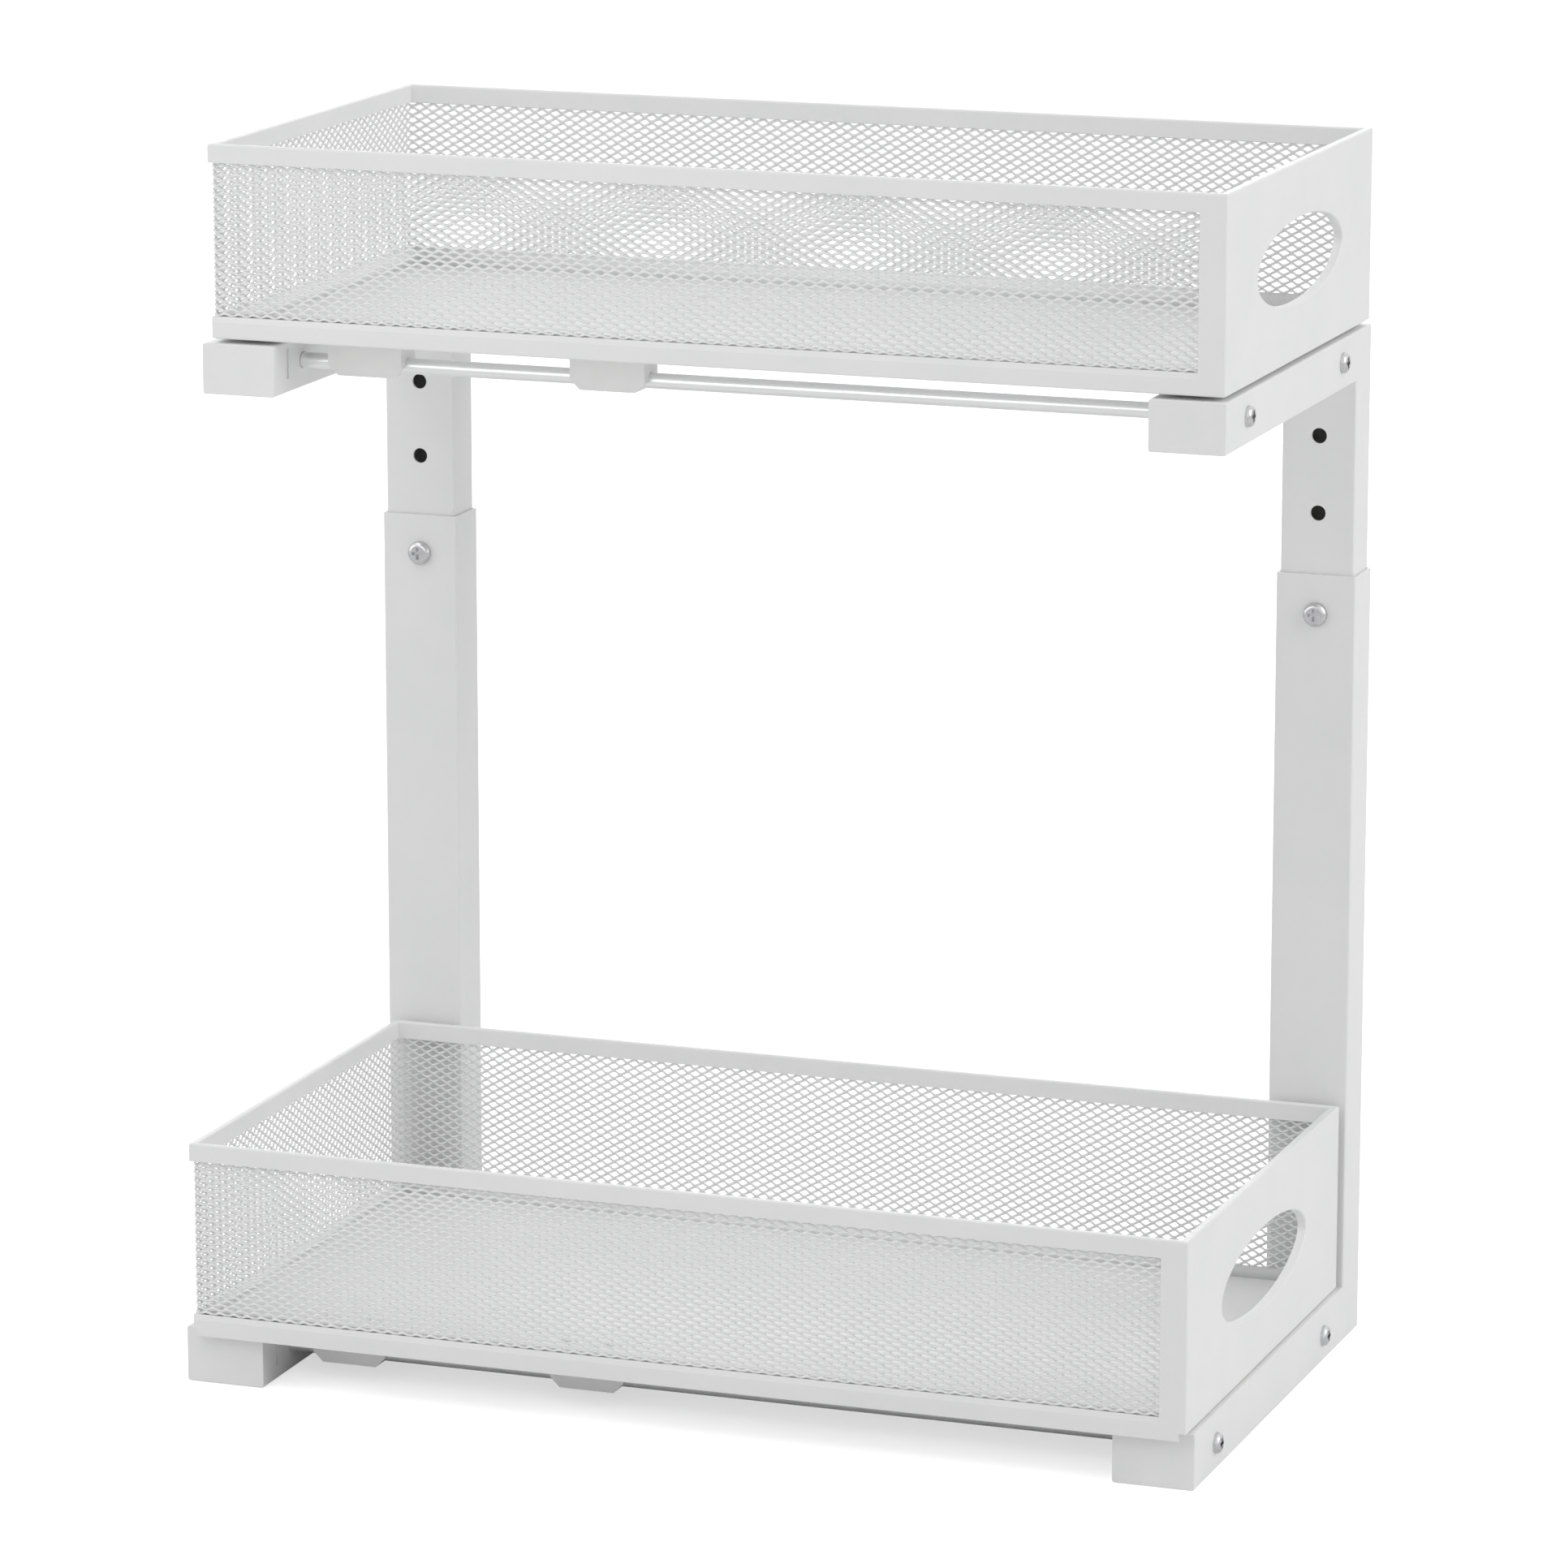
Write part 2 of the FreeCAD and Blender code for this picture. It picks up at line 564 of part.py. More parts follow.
    # mesh walls: they stand on the floor inside the lip and reach up into the rims, and the back one turns the corners
    side_length = value("basket_length") - value("panel_return") - value("floor_sheet") - value("mesh_bend")
    end_length = value(width) - 2 * value("floor_sheet") - 2 * value("mesh_bend")
    border = value("mesh_border")
    covered = border + value("band_width")
    mesh_z = "%s + floor_sheet" % z0
    bend_x = "basket_back + floor_sheet + mesh_bend"
    bend_y0 = "%s + floor_sheet + mesh_bend" % y0
    bend_y1 = "%s - floor_sheet - mesh_bend" % y1
    node(name + "open_side_mesh", mesh(bend_x, "%s + floor_sheet" % y0, mesh_z, side_length, border, covered, lip,
                                       False))
    node(name + "post_side_mesh", mesh(bend_x, "%s - floor_sheet - mesh_sheet" % y1, mesh_z, side_length, border,
                                       covered, lip, False))
    back_wall = mesh("basket_back + floor_sheet", bend_y0, mesh_z, end_length, border, border, lip, True)
    node(name + "back_mesh", fuse(back_wall, mesh_corner(bend_x, bend_y0, mesh_z, 180),
                                  mesh_corner(bend_x, bend_y1, mesh_z, 90)))

    # rims: folded over the top edges of the mesh and mitred at the back corners, where the mesh turns inside them
    rim_z = "%s - rim_height" % z1
    rim_length = "basket_length - panel_return"
    under_z = "%s - 1" % rim_z
    clear_height = "rim_height - rim_sheet + 1"
    clear_depth = "rim_depth - rim_sheet + 1"
    open_turn = box("basket_back - 1", "%s + rim_sheet" % y0, under_z, "mesh_turn + 1", clear_depth, clear_height)
    post_turn = box("basket_back - 1", "%s - rim_depth - 1" % y1, under_z, "mesh_turn + 1", clear_depth, clear_height)
    back_turns = [box("basket_back + rim_sheet", start, under_z, clear_depth, "mesh_turn", clear_height)
                  for start in (y0, "%s - mesh_turn" % y1)]
    node(name + "open_side_rim", channel("basket_back", y0, rim_z, rim_length, "rim_depth", X_AXIS, open_turn,
                                         mitre_block(y0, rim_z, 45, 1)))
    node(name + "post_side_rim", channel("basket_back", "%s - rim_depth" % y1, rim_z, rim_length, "rim_depth", X_AXIS,
                                         post_turn, mitre_block(y1, rim_z, -45, -1)))
    node(name + "back_rim", channel("basket_back", y0, rim_z, "rim_depth", width, Y_AXIS, mitre_block(y0, rim_z, 45, -1),
                                    mitre_block(y1, rim_z, -45, 1), *back_turns))

    # upright bands: flush with the lip and the rim, they cover the cut ends of the side meshes beside the handle panel
    band_z = "%s + %s" % (z0, lip)
    band_height = "basket_height - %s - rim_height" % lip
    band_x = "basket_front - panel_return - band_width"
    for side, band_y in (("open", y0), ("post", "%s - floor_sheet" % y1)):
        node("%s%s_side_end_band" % (name, side), box(band_x, band_y, band_z, "band_width", "floor_sheet", band_height))

    # handle panel: a sheet with all four edges turned back to meet the tray, the bands and the rims, and a flanged oval
    # hand hole
    plate = box("basket_front - panel_return", y0, z0, "panel_return", width, "basket_height")
    plate.recompute()
    bounds = plate.Shape.BoundBox
    plate = dress("Fillet", plate, value("fold_round"), lambda edge, bounds=bounds:
                  edge.CenterOfMass.x > bounds.XMin + 0.1)
    behind = box("basket_front - panel_return - 1", "%s + panel_sheet" % y0, "%s + panel_sheet" % z0,
                 "panel_return - panel_sheet + 1", "%s - 2 * panel_sheet" % width, "basket_height - 2 * panel_sheet")
    ovals = []
    for extra, start, length in (("panel_sheet", "basket_front - panel_sheet - hand_hole_flange",
                                  "hand_hole_flange + panel_sheet / 2"),
                                 ("0", "basket_front - 2 * panel_return - hand_hole_flange",
                                  "4 * panel_return + hand_hole_flange")):
        outline = doc.addObject("Part::Ellipse", "oval")
        outline.Placement.Rotation = FreeCAD.Rotation(FreeCAD.Vector(1, 1, 1), 120)
        bind(outline, MajorRadius="hand_hole_width / 2 + %s" % extra, MinorRadius="hand_hole_height / 2 + %s" % extra)
        place(outline, start, "%s + %s / 2" % (y0, width), "%s + basket_height / 2" % z0)
        solid = doc.addObject("Part::Extrusion", "oval_solid")
        solid.Base = outline
        solid.DirMode = "Custom"
        solid.Dir = X_AXIS
        solid.Solid = True
        bind(solid, LengthFwd=length)
        ovals.append(solid)
    panel = cut(fuse(cut(plate, behind), ovals[0]), ovals[1])
    doc.recompute()
    node(name + "handle_panel", dress("Fillet", panel, value("fold_round"), lambda edge, face=bounds.XMax:
                                      edge.isClosed() and edge.BoundBox.XMin > face - 0.01))

doc.recompute()

faults = [thing.Label for thing in doc.Objects if "Invalid" in thing.State or "Error" in thing.State]
if faults:
    raise RuntimeError("these objects failed: " + ", ".join(faults))
for thing in NODES:
    if thing.Shape.isNull() or not thing.Shape.isValid():
        raise RuntimeError("no valid shape: " + thing.Label)
    if not thing.Shape.Solids:
        raise RuntimeError("no solid: " + thing.Label)

os.makedirs("parts", exist_ok=True)
for thing in NODES:
    thing.Shape.exportStep("parts/%s.step" % thing.Label)
print("%d nodes" % len(NODES))
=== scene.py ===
import math
import bpy
import numpy as np
from mathutils import Matrix, Vector


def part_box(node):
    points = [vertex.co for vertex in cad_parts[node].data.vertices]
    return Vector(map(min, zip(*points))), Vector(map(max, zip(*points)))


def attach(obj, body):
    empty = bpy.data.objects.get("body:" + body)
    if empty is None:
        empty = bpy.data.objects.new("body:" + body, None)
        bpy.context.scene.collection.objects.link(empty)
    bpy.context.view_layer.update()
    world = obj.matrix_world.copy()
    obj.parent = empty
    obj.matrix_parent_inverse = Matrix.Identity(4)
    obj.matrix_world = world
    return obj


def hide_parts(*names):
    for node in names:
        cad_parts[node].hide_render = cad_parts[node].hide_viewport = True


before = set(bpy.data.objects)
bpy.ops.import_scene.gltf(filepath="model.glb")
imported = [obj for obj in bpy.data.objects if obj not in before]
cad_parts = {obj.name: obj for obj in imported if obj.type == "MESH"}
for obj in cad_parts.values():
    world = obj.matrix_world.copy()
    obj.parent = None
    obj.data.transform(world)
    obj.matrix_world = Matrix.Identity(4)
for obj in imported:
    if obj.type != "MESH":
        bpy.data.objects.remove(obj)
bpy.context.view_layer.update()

# Lower frame: at each end a foot and an outer post of rectangular steel tube, mitred and welded at the rear corner,
# ground flush and powder coated satin white in one go.


def bare_finish(name, colour, roughness, metal=0.0):
    """A material with one plain shader; what varies over the surface is linked to it later."""
    finish = bpy.data.materials.new(name)
    finish.use_nodes = True
    finish.diffuse_color = (*colour, 1.0)
    shader = finish.node_tree.nodes["Principled BSDF"]
    shader.inputs["Base Color"].default_value = (*colour, 1.0)
    shader.inputs["Roughness"].default_value = roughness
    shader.inputs["Metallic"].default_value = metal
    return finish, finish.node_tree, shader


def grain(tree, size, detail=2.0, stretch=(1.0, 1.0, 1.0)):
    """Noise in the piece's own coordinates with lumps about `size` metres across, shortened along each axis by
    `stretch`."""
    place = tree.nodes.new("ShaderNodeTexCoord")
    mapping = tree.nodes.new("ShaderNodeMapping")
    noise = tree.nodes.new("ShaderNodeTexNoise")
    mapping.inputs["Scale"].default_value = stretch
    noise.inputs["Scale"].default_value = 1.0 / size
    noise.inputs["Detail"].default_value = detail
    tree.links.new(place.outputs["Object"], mapping.inputs["Vector"])
    tree.links.new(mapping.outputs["Vector"], noise.inputs["Vector"])
    return noise.outputs["Fac"]


# most of the noise lies between these two levels
GRAIN_LOW, GRAIN_HIGH = 0.3, 0.7


def tint(tree, shader, pattern, first, second):
    """Base colour that goes from `first` to `second` as the pattern goes from its low spots to its high ones."""
    ramp = tree.nodes.new("ShaderNodeValToRGB")
    ramp.color_ramp.elements[0].position = GRAIN_LOW
    ramp.color_ramp.elements[0].color = (*first, 1.0)
    ramp.color_ramp.elements[1].position = GRAIN_HIGH
    ramp.color_ramp.elements[1].color = (*second, 1.0)
    tree.links.new(pattern, ramp.inputs["Fac"])
    tree.links.new(ramp.outputs["Color"], shader.inputs["Base Color"])


def sheen(tree, shader, pattern, smooth, rough):
    """Roughness that goes from `smooth` to `rough` with the pattern."""
    scale = tree.nodes.new("ShaderNodeMapRange")
    scale.inputs["From Min"].default_value = GRAIN_LOW
    scale.inputs["From Max"].default_value = GRAIN_HIGH
    scale.inputs["To Min"].default_value = smooth
    scale.inputs["To Max"].default_value = rough
    tree.links.new(pattern, scale.inputs["Value"])
    tree.links.new(scale.outputs["Result"], shader.inputs["Roughness"])


def relief(tree, shader, pattern, depth):
    """Bump whose lumps stand `depth` metres high."""
    bump = tree.nodes.new("ShaderNodeBump")
    bump.inputs["Strength"].default_value = 1.0
    bump.inputs["Distance"].default_value = depth
    tree.links.new(pattern, bump.inputs["Height"])
    tree.links.new(bump.outputs["Normal"], shader.inputs["Normal"])


def dressed_in(finish, *names):
    """Gives a finish to solids of the frame."""
    for name in names:
        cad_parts[name].data.materials.clear()
        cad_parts[name].data.materials.append(finish)


# The coat flows out to a faint orange peel about a millimetre across, a little duller where it lies thick.
white_coat, coat_tree, coat_shader = bare_finish("white_powder_coat", (0.88, 0.88, 0.88), roughness=0.45)
tint(coat_tree, coat_shader, grain(coat_tree, size=0.03, detail=3.0),
     first=(0.866, 0.868, 0.870), second=(0.892, 0.892, 0.890))
sheen(coat_tree, coat_shader, grain(coat_tree, size=0.004, detail=3.0), smooth=0.40, rough=0.52)
relief(coat_tree, coat_shader, grain(coat_tree, size=0.0011, detail=1.0), depth=0.000018)
dressed_in(white_coat, "front_foot", "back_foot", "front_lower_post", "back_lower_post")

# Foot caps: moulded plastic plugs that close the open ends of the feet and snap into a slot in the tube's inner side.
# They are the same white as the coat and a little flatter.
white_cap, cap_tree, cap_shader = bare_finish("white_cap_plastic", (0.87, 0.87, 0.87), roughness=0.55)
tint(cap_tree, cap_shader, grain(cap_tree, size=0.012, detail=2.0),
     first=(0.858, 0.860, 0.862), second=(0.882, 0.882, 0.880))
sheen(cap_tree, cap_shader, grain(cap_tree, size=0.002, detail=2.0), smooth=0.50, rough=0.62)
relief(cap_tree, cap_shader, grain(cap_tree, size=0.0005, detail=1.0), depth=0.000012)
dressed_in(white_cap, "front_foot_cap", "back_foot_cap")

# Height lock screws: domed, cross-recessed machine screws of nickel-plated steel, one driven through the open-side face
# of each lower post to lock the upper post at one of its holes.
nickel, nickel_tree, nickel_shader = bare_finish("nickel_plate", (0.62, 0.62, 0.63), roughness=0.2, metal=1.0)
tint(nickel_tree, nickel_shader, grain(nickel_tree, size=0.002, detail=3.0),
     first=(0.58, 0.58, 0.595), second=(0.66, 0.66, 0.665))
sheen(nickel_tree, nickel_shader, grain(nickel_tree, size=0.0009, detail=3.0), smooth=0.16, rough=0.30)
relief(nickel_tree, nickel_shader, grain(nickel_tree, size=0.0006, detail=2.0), depth=0.000006)
dressed_in(nickel, "height_lock_screws")

# Slide rods: ground and chromed steel bars through both feet, with faint grinding marks along their length, and the
# screws that hold their ends.
chrome, chrome_tree, chrome_shader = bare_finish("chromed_rod", (0.88, 0.88, 0.885), roughness=0.3, metal=1.0)
drawn = grain(chrome_tree, size=0.0004, detail=3.0, stretch=(0.02, 1.0, 1.0))
tint(chrome_tree, chrome_shader, drawn, first=(0.86, 0.86, 0.87), second=(0.90, 0.90, 0.905))
sheen(chrome_tree, chrome_shader, drawn, smooth=0.26, rough=0.38)
relief(chrome_tree, chrome_shader, drawn, depth=0.000002)
dressed_in(chrome, "lower_open_side_rod", "lower_post_side_rod")
dressed_in(nickel, "lower_rod_screws")

# Upper frame: at each end an arm and an inner post of the next smaller tube, which slides in the lower post and has a
# row of lock holes, with its own caps, rods and screws.
dressed_in(white_coat, "front_arm", "back_arm", "front_upper_post", "back_upper_post")
dressed_in(white_cap, "front_arm_cap", "back_arm_cap")
dressed_in(chrome, "upper_open_side_rod", "upper_post_side_rod")
dressed_in(nickel, "upper_rod_screws")

# Sliders: moulded acetal blocks closed round the rods, two on each rod, and the rivets, painted over, that hold them
# under the floor of each basket.
acetal, acetal_tree, acetal_shader = bare_finish("acetal_slider", (0.86, 0.86, 0.855), roughness=0.45)
acetal_shader.inputs["Subsurface Weight"].default_value = 0.1
acetal_shader.inputs["Subsurface Radius"].default_value = (0.002, 0.002, 0.002)
tint(acetal_tree, acetal_shader, grain(acetal_tree, size=0.008, detail=2.0),
     first=(0.845, 0.845, 0.842), second=(0.872, 0.872, 0.868))
sheen(acetal_tree, acetal_shader, grain(acetal_tree, size=0.0015, detail=2.0), smooth=0.38, rough=0.52)
relief(acetal_tree, acetal_shader, grain(acetal_tree, size=0.0006, detail=1.0), depth=0.00001)
for tier in ("lower", "upper"):
    dressed_in(acetal, *["%s_basket_%s_side_%s_slider" % (tier, side, spot) for side in ("open", "post")
                         for spot in ("back", "front")])
    dressed_in(white_coat, tier + "_basket_slider_rivets")

# Floor trays: solid steel sheet with a lip turned up on three sides, riveted to the sliders below it and powder coated
# like the frame.
dressed_in(white_coat, "lower_basket_floor_tray", "upper_basket_floor_tray")

# Mesh walls: raised expanded steel, slit and stretched so that its strands lean with their upper edges inward, most at
# the bonds. A plain margin is left all round, spot welded inside the lip and folded into the rim. The open side's lower
# margin is hemmed, and the back wall turns both corners.


def strands(length, height, long_way, short_way, width, gauge, bond, bond_lean, strand_lean, extra):
    """Rows of zigzag strands in a flat field, as points (along, up, out) and quads. Row k follows the line
    up = (k + 1/2) pitch + s A w(along), out = s B w(along), where s alternates by row, w is a wave that stays at +1
    or -1 along each bond and runs straight between, and A and B bring each row edge to edge with the next at the
    bonds. Its section is a bar of that width and gauge, leaning inward by an angle that goes with |w| from
    `strand_lean` halfway between two bonds to `bond_lean` along them. There are stations at both ends of each bond,
    halfway between, and at the extra places."""
    cells = round(length / long_way)
    rows = round(height / (short_way / 2))
    cell, pitch = length / cells, height / rows
    rise, sway = (pitch - width * math.cos(bond_lean)) / 2, width * math.sin(bond_lean) / 2
    steps = np.array([0.0, cell / 4 - bond / 2, cell / 2 - bond]) + bond / 2
    steps = np.concatenate([steps, steps + cell / 2])
    knots = np.concatenate([[0.0], (np.arange(cells)[:, None] * cell + steps).ravel(), [length]])
    along = np.union1d(knots, extra)
    wave = np.interp(along, knots, np.concatenate([[1.0], np.tile([1.0, 0.0, -1.0, -1.0, 0.0, 1.0], cells), [1.0]]))
    lean = (strand_lean + (bond_lean - strand_lean) * np.abs(wave))[:, None]
    swing = np.where(np.arange(rows) % 2 == 0, -1.0, 1.0)[:, None] * wave
    level = (np.arange(rows)[:, None] + 0.5) * pitch
    across = np.array([1.0, -1.0, -1.0, 1.0]) * width / 2
    through = np.array([1.0, 1.0, -1.0, -1.0]) * gauge / 2
    up = across * np.cos(lean) + through * np.sin(lean)
    out = -across * np.sin(lean) + through * np.cos(lean)
    shape = (rows, len(along), 4)
    points = np.stack([np.broadcast_to(along[None, :, None], shape), (level + rise * swing)[..., None] + up,
                       (sway * swing)[..., None] + out], -1)
    return points.reshape(-1, 3), tube_quads(rows, len(along))


def tube_quads(count, stations):
    """Quads of several four-sided bars that each have that many stations: the sides, then the two closed ends."""
    bars = np.arange(count)[:, None, None] * stations * 4
    here = np.arange(stations - 1)[None, :, None] * 4 + bars
    side, after = np.arange(4), (np.arange(4) + 1) % 4
    sides = np.stack([here + side, here + after, here + 4 + after, here + 4 + side], -1).reshape(-1, 4)
    first = bars.reshape(-1, 1) + side[::-1]
    last = bars.reshape(-1, 1) + (stations - 1) * 4 + side
    return np.concatenate([sides, first, last])


def plain_strip(stations, low, high, inner, outer):
    """A flat strip on edge in the same field: at each station along it the four corners of its section, at the two
    heights and the two distances out."""
    shape = (len(stations), 4)
    points = np.stack([np.broadcast_to(np.asarray(stations)[:, None], shape),
                       np.broadcast_to([high, low, low, high], shape),
                       np.broadcast_to([outer, outer, inner, inner], shape)], -1)
    return points.reshape(-1, 3), tube_quads(1, len(stations))


def hem(stations, low, lip_top, half):
    """The lower margin turned up behind the sheet: a fold as deep as HEM_DEPTH, whose inner leaf stands HEM_LEAF above
    the lip, behind the first openings. The slot between sheet and leaf goes down as far below the lip's top edge."""
    return [plain_strip(stations, low, lip_top - HEM_LEAF, -HEM_DEPTH, half),
            plain_strip(stations, lip_top - HEM_LEAF, lip_top + HEM_LEAF, -HEM_DEPTH, HEM_SHEET - HEM_DEPTH)]


def straight_wall(points, start, along, outward):
    """Stands a flat field up on the plan: along the wall, up, and out of it."""
    plan = np.asarray(start) + points[:, :1] * np.asarray(along) + points[:, 2:] * np.asarray(outward)
    return np.concatenate([plan, points[:, 1:2]], -1)


def turned_wall(points, centre, radius, straight):
    """Stands a flat field up round a quarter turn, a straight run along -Y and another quarter turn: with q the length
    of a turn, the wall faces (-sin h, cos h) at h = (clip(s / q) + clip((s - q - straight) / q)) 90 degrees and stands
    that radius out from the turn's centre, which moves along the straight run."""
    quarter = radius * math.pi / 2
    s = points[:, 0]
    heading = (np.clip(s / quarter, 0, 1) + np.clip((s - quarter - straight) / quarter, 0, 1)) * math.pi / 2
    reach = radius + points[:, 2]
    return np.stack([centre[0] - reach * np.sin(heading),
                     centre[1] - np.clip(s - quarter, 0, straight) + reach * np.cos(heading), points[:, 1]], -1)


def new_piece(name, shells, finish, body, node):
    """One object from several closed shells of quads, which stands for a solid of the frame and moves with a body."""
    counts = np.cumsum([0] + [len(points) for points, quads in shells])
    points = np.concatenate([shell[0] for shell in shells])
    quads = np.concatenate([shell[1] + first for shell, first in zip(shells, counts)])
    mesh = bpy.data.meshes.new(name)
    mesh.vertices.add(len(points))
    mesh.vertices.foreach_set("co", points.astype(np.float32).ravel())
    mesh.loops.add(4 * len(quads))
    mesh.loops.foreach_set("vertex_index", quads.astype(np.int32).ravel())
    mesh.polygons.add(len(quads))
    mesh.polygons.foreach_set("loop_start", np.arange(0, 4 * len(quads), 4, dtype=np.int32))
    mesh.update(calc_edges=True)
    mesh.materials.append(finish)
    piece = bpy.data.objects.new(name, mesh)
    bpy.context.scene.collection.objects.link(piece)
    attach(piece, body)
    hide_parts(node)


# the same white coat as the frame, painted whiter on the strands as a painted highlight for the light they catch, and a
# little smoother there than on the sheet
mesh_coat_painted_lighter, mesh_tree, mesh_shader = bare_finish("white_mesh_coat_painted_lighter", (0.94, 0.94, 0.94), roughness=0.45)
tint(mesh_tree, mesh_shader, grain(mesh_tree, size=0.03, detail=3.0),
     first=(0.93, 0.932, 0.934), second=(0.95, 0.95, 0.948))
sheen(mesh_tree, mesh_shader, grain(mesh_tree, size=0.004, detail=3.0), smooth=0.40, rough=0.50)
relief(mesh_tree, mesh_shader, grain(mesh_tree, size=0.0006, detail=1.0), depth=0.000008)
MESH_LONG, MESH_SHORT = 0.0059, 0.0035
STRAND_WIDTH, STRAND_GAUGE, BOND_LENGTH = 0.00108, 0.0005, 0.0008
BOND_LEAN, STRAND_LEAN = math.radians(44), math.radians(20)
HEM_DEPTH, HEM_SHEET, HEM_LEAF = 0.0014, 0.0003, 0.0010
# how far the strands start behind the lip's top edge, and the plain margin left below the rim and beside the band
BEHIND_LIP, BELOW_RIM, BESIDE_BAND = 0.0002, 0.0003, 0.0002
BEND_STATIONS = 7
for tier in ("lower", "upper"):
    basket = tier + "_basket"
    open_low, open_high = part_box(basket + "_open_side_mesh")
    post_low, post_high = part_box(basket + "_post_side_mesh")
    back_low, back_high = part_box(basket + "_back_mesh")
    gauge = open_high.y - open_low.y
    turn = open_low.x - back_low.x
    lip_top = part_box(basket + "_floor_tray")[1].z
    field_low = lip_top - BEHIND_LIP
    field_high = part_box(basket + "_open_side_rim")[0].z - BELOW_RIM

    # the long walls run from the corner to the panel, and their plain ends lie under the upright bands
    reach = open_high.x - open_low.x
    covered = open_high.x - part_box(basket + "_open_side_end_band")[0].x + BESIDE_BAND
    field, quads = strands(reach - covered, field_high - field_low, MESH_LONG, MESH_SHORT, STRAND_WIDTH, STRAND_GAUGE,
                           BOND_LENGTH, BOND_LEAN, STRAND_LEAN, [])
    ends = (0.0, reach)
    turned_up = hem(ends, open_low.z, lip_top, gauge / 2)
    flat = [plain_strip(ends, open_low.z, lip_top, -gauge / 2, gauge / 2)]
    for side, start, along, outward, first, plain, foot in (
            ("open", (open_low.x, (open_low.y + open_high.y) / 2), 1.0, -1.0, 0.0, (reach - covered, reach), turned_up),
            ("post", (open_high.x, (post_low.y + post_high.y) / 2), -1.0, 1.0, covered, (0.0, covered), flat)):
        shells = [(field + (first, field_low, 0.0), quads), *foot,
                  plain_strip(plain, lip_top, field_high, -gauge / 2, gauge / 2),
                  plain_strip(ends, field_high, open_high.z, -gauge / 2, gauge / 2)]
        new_piece("%s_%s_side_expanded_wall" % (tier, side),
                  [(straight_wall(points, start, (along, 0.0), (0.0, outward)), faces) for points, faces in shells],
                  mesh_coat_painted_lighter, basket, basket + "_%s_side_mesh" % side)

    # the back wall runs from the post side to the open side and turns the corner at each end
    radius = turn - gauge / 2
    straight = back_high.y - back_low.y - 2 * turn
    around = straight + math.pi * radius
    bend = np.linspace(0.0, math.pi * radius / 2, BEND_STATIONS)
    bends = np.concatenate([bend, around - bend[::-1]])
    field, quads = strands(around, field_high - field_low, MESH_LONG, MESH_SHORT, STRAND_WIDTH, STRAND_GAUGE,
                           BOND_LENGTH, BOND_LEAN, STRAND_LEAN, bends)
    shells = [(field + (0.0, field_low, 0.0), quads), plain_strip(bends, open_low.z, lip_top, -gauge / 2, gauge / 2),
              plain_strip(bends, field_high, back_high.z, -gauge / 2, gauge / 2)]
    new_piece(tier + "_back_expanded_wall",
              [(turned_wall(points, (open_low.x, back_high.y - turn), radius, straight), faces)
               for points, faces in shells], mesh_coat_painted_lighter, basket, basket + "_back_mesh")

# Rims, end bands and handle panels: folded sheet over the mesh's top edge and cut ends, and a pressed panel with a
# flanged oval hand hole, all welded to the tray and coated with it.
for tier in ("lower", "upper"):
    dressed_in(white_coat, *["%s_basket_%s" % (tier, name) for name in (
        "open_side_rim", "post_side_rim", "back_rim", "open_side_end_band", "post_side_end_band", "handle_panel")])

# Stage: a plain white floor that keeps the shadow, an even white room, soft lamps on all four sides, and a small one
# near the upper basket.
FLOOR_REACH, FLOOR_DROP, FLOOR_GLOW = 9.0, 0.0002, 0.58
floor_corners = np.array([(-1.0, -1.0, 0.0), (1.0, -1.0, 0.0), (1.0, 1.0, 0.0), (-1.0, 1.0, 0.0)]) * FLOOR_REACH
floor_corners[:, 2] = -FLOOR_DROP
floor_mesh = bpy.data.meshes.new("floor")
floor_mesh.from_pydata(floor_corners.tolist(), [], [(0, 1, 2, 3)])
floor = bpy.data.objects.new("floor", floor_mesh)
bpy.context.scene.collection.objects.link(floor)
floor_paint, floor_tree, floor_shader = bare_finish("floor_white", (0.93, 0.93, 0.93), roughness=0.9)
floor_shader.inputs["Specular IOR Level"].default_value = 0.0
floor_seen = floor_tree.nodes.new("ShaderNodeLightPath")
floor_tree.links.new(floor_seen.outputs["Is Camera Ray"], floor_shader.inputs["Emission Strength"])
floor_shader.inputs["Emission Color"].default_value = (FLOOR_GLOW, FLOOR_GLOW, FLOOR_GLOW, 1.0)
floor_mesh.materials.append(floor_paint)

ROOM_LIGHT, ROOM_SEEN = 0.46, 1.0
room = bpy.data.worlds.new("white_room")
bpy.context.scene.world = room
room.use_nodes = True
room_tree = room.node_tree
seen = room_tree.nodes.new("ShaderNodeLightPath")
either = room_tree.nodes.new("ShaderNodeMath")
either.operation = "MAXIMUM"
any_sight = room_tree.nodes.new("ShaderNodeMath")
any_sight.operation = "MAXIMUM"
level = room_tree.nodes.new("ShaderNodeMapRange")
level.inputs["To Min"].default_value = ROOM_LIGHT
level.inputs["To Max"].default_value = ROOM_SEEN
room_tree.links.new(seen.outputs["Is Camera Ray"], either.inputs[0])
room_tree.links.new(seen.outputs["Is Glossy Ray"], either.inputs[1])
room_tree.links.new(either.outputs["Value"], any_sight.inputs[0])
room_tree.links.new(seen.outputs["Is Transmission Ray"], any_sight.inputs[1])
room_tree.links.new(any_sight.outputs["Value"], level.inputs["Value"])
room_tree.links.new(level.outputs["Result"], room_tree.nodes["Background"].inputs["Strength"])
room_tree.nodes["Background"].inputs["Color"].default_value = (1.0, 1.0, 1.0, 1.0)

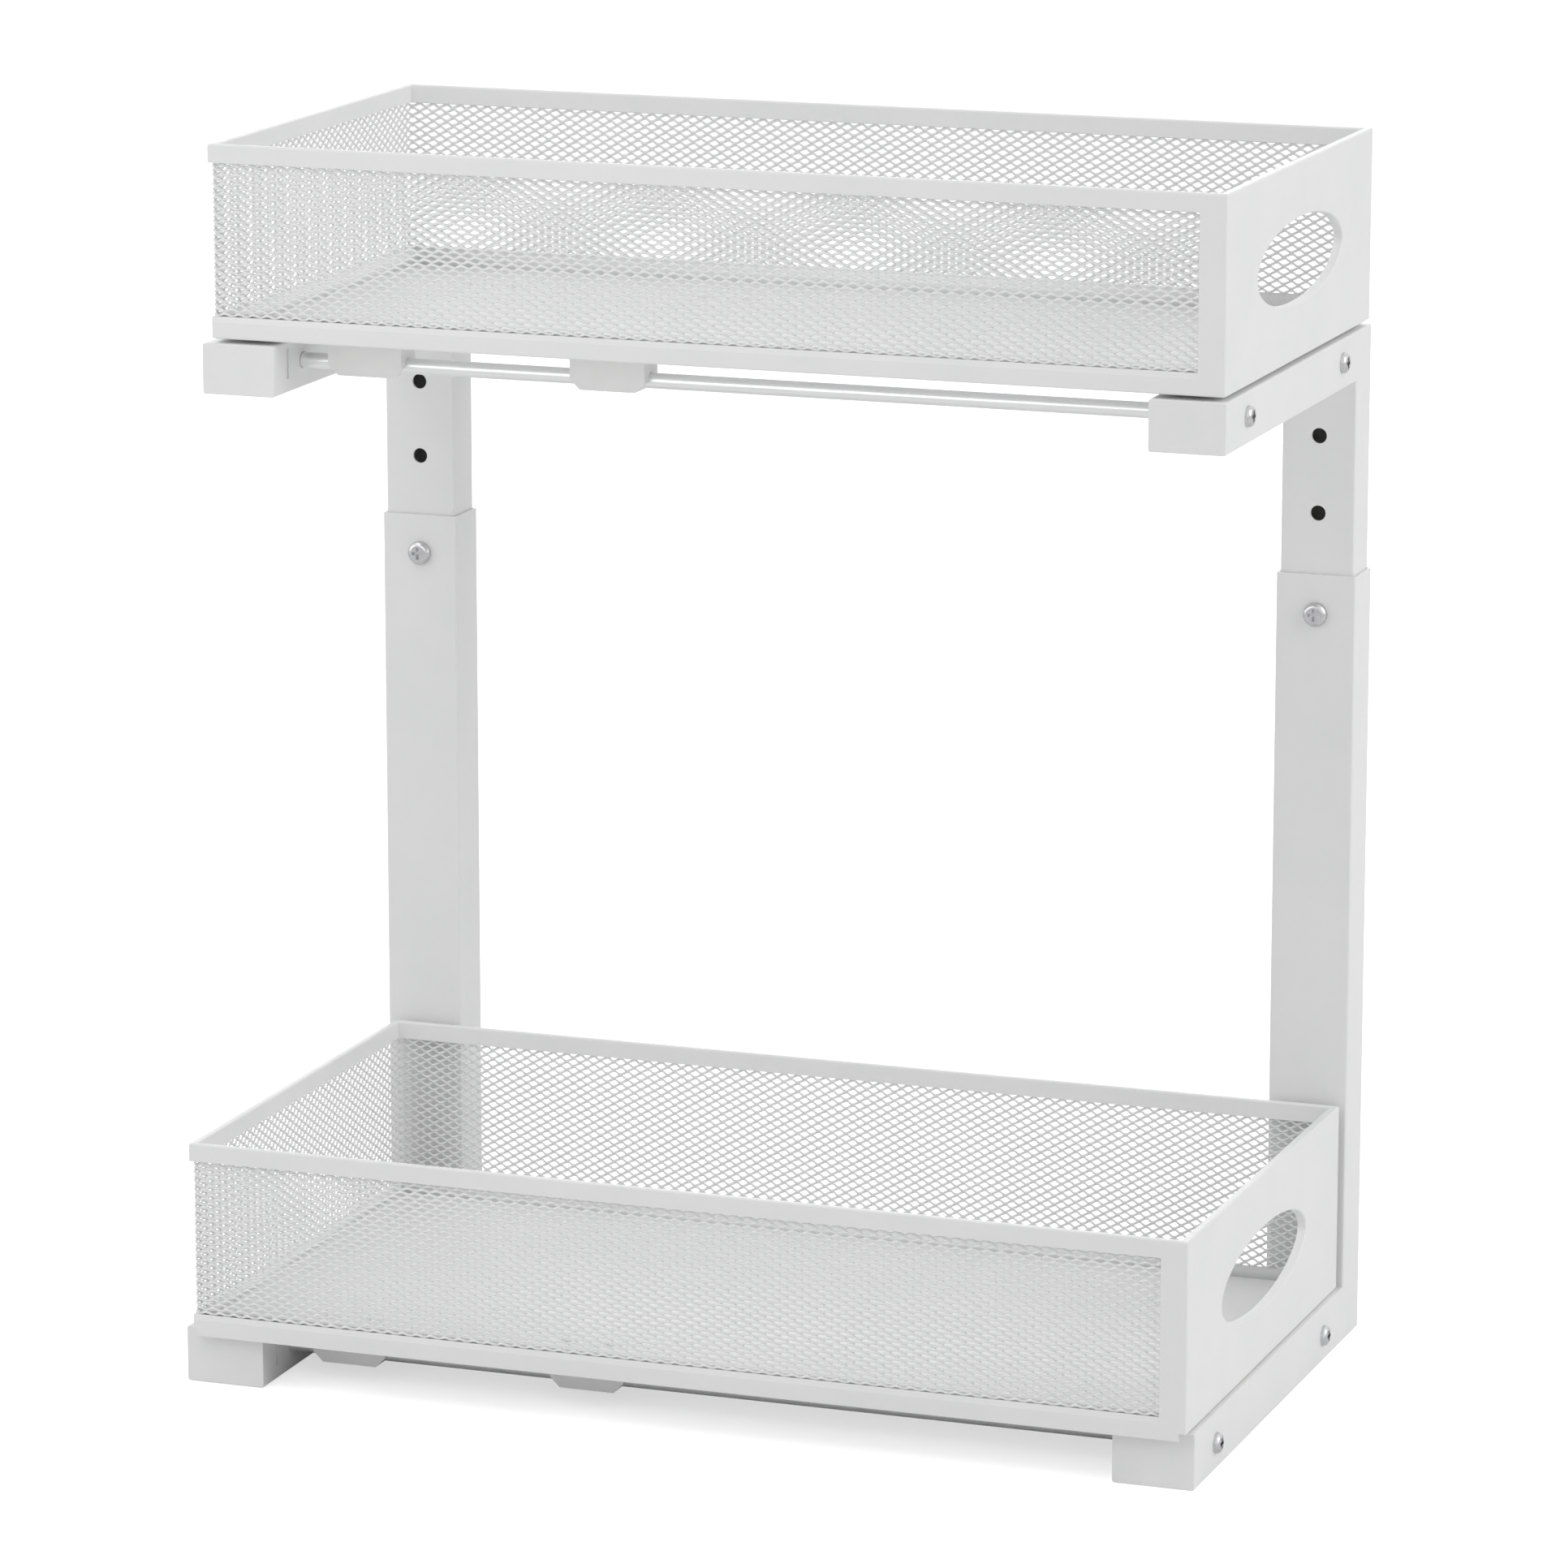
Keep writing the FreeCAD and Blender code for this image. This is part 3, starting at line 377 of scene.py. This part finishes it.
OBJECT_MIDDLE = (0.0, 0.0, 0.24)
for name, size, power, place, aim in (
        ("handle_side_lamp", 2.2, 28.0, (2.6, -0.24, 1.68), OBJECT_MIDDLE),
        ("back_end_lamp", 2.0, 8.0, (-2.4, -1.6, 0.9), OBJECT_MIDDLE),
        ("front_lamp", 1.8, 12.5, (-0.8, -1.4, 2.7), OBJECT_MIDDLE),
        ("rear_lamp", 2.2, 18.0, (-0.8, 2.5, 1.7), OBJECT_MIDDLE),
        ("near_lamp", 0.4, 0.30, (-0.2, -0.6, 0.55), (-0.13, -0.08, 0.41))):
    lamp_data = bpy.data.lights.new(name, "AREA")
    lamp_data.shape = "DISK"
    lamp_data.size = size
    lamp_data.energy = power
    lamp = bpy.data.objects.new(name, lamp_data)
    lamp.location = place
    lamp.rotation_euler = (Vector(place) - Vector(aim)).to_track_quat("Z", "Y").to_euler()
    bpy.context.scene.collection.objects.link(lamp)

# Camera: a long lens a little above the object and turned towards the handle end, far enough away that the two baskets
# show little perspective.
SENSOR, FRAME_HEIGHT, FOCAL_PIXELS = 36.0, 1932.0, 9049.0
CAMERA_DISTANCE, CAMERA_LEFT, CAMERA_DOWN = 2.822, 0.0019, 0.0155
sight = Vector((0.0007, -0.0017, 0.245))
turned, raised = math.radians(19.95), math.radians(12.55)
back = Vector((math.sin(turned) * math.cos(raised), -math.cos(turned) * math.cos(raised), math.sin(raised)))
right = Vector((0.0, 0.0, 1.0)).cross(back).normalized()
upward = back.cross(right)
camera_data = bpy.data.cameras.new("camera")
camera_data.sensor_width = SENSOR
camera_data.lens = FOCAL_PIXELS / FRAME_HEIGHT * SENSOR
camera_data.clip_start, camera_data.clip_end = 0.1, 60.0
camera = bpy.data.objects.new("camera", camera_data)
camera.location = sight + CAMERA_DISTANCE * back - CAMERA_LEFT * right - CAMERA_DOWN * upward
camera.rotation_euler = Matrix((right, upward, back)).transposed().to_euler()
bpy.context.scene.collection.objects.link(camera)
bpy.context.scene.camera = camera
bpy.context.scene.view_settings.view_transform = "Standard"
